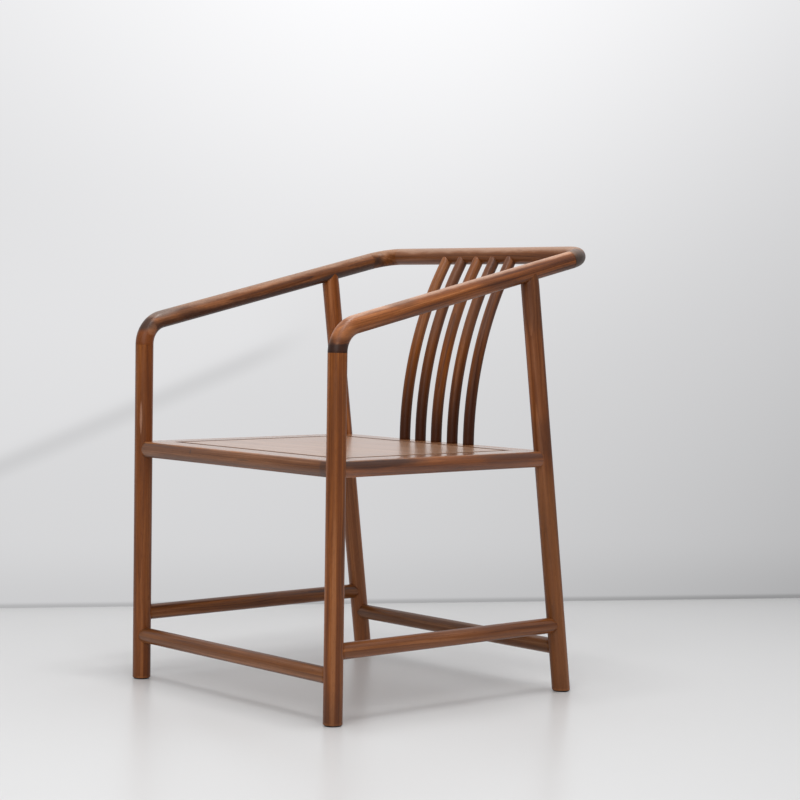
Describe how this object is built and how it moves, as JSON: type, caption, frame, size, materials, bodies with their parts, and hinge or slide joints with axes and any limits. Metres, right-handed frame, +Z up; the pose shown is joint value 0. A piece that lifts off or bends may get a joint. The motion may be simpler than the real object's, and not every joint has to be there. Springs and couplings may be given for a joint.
{
  "type": "armchair",
  "caption": "Low-backed wooden armchair with a flat panelled seat, round legs and stretchers, and a sloping horseshoe rail that forms both arms and the back, held up by bent round slats.",
  "frame": {"origin": "on the floor, in the middle of the chair's outline seen from above", "axes": "+Z up; the chair faces -Y; +X is to the right as seen from in front of the chair"},
  "size_m": [0.593, 0.6174, 0.81],
  "materials": {
    "frame_wood": "satin lacquer over reddish-brown hardwood, grain along each bar",
    "rail_wood": "satin lacquer over reddish-brown hardwood, grain along the rail",
    "slat_wood": "satin lacquer over reddish-brown hardwood, grain along the slat",
    "seat_wood": "glossy lacquer over reddish-brown hardwood, grain from side to side",
    "inner_wood": "bare hardwood",
    "glide_plastic": "matt black, smooth"
  },
  "bodies": {
    "root": {"arm_left": "frame_wood", "arm_right": "frame_wood", "back_leg_left": "frame_wood", "back_leg_right": "frame_wood", "back_slat_1": "slat_wood", "back_slat_2": "slat_wood", "back_slat_3": "slat_wood", "back_slat_4": "slat_wood", "back_slat_5": "slat_wood", "bow_dowel_left": "inner_wood", "bow_dowel_right": "inner_wood", "crest_rail": "frame_wood", "front_leg_left": "frame_wood", "front_leg_right": "frame_wood", "glide_back_left": "glide_plastic", "glide_back_right": "glide_plastic", "glide_front_left": "glide_plastic", "glide_front_right": "glide_plastic", "seat_batten_left": "inner_wood", "seat_batten_right": "inner_wood", "seat_panel": "seat_wood", "seat_rail_back": "rail_wood", "seat_rail_front": "rail_wood", "seat_rail_left": "rail_wood", "seat_rail_right": "rail_wood", "stretcher_back": "frame_wood", "stretcher_front": "frame_wood", "stretcher_left": "frame_wood", "stretcher_right": "frame_wood"}
  },
  "joints": []
}
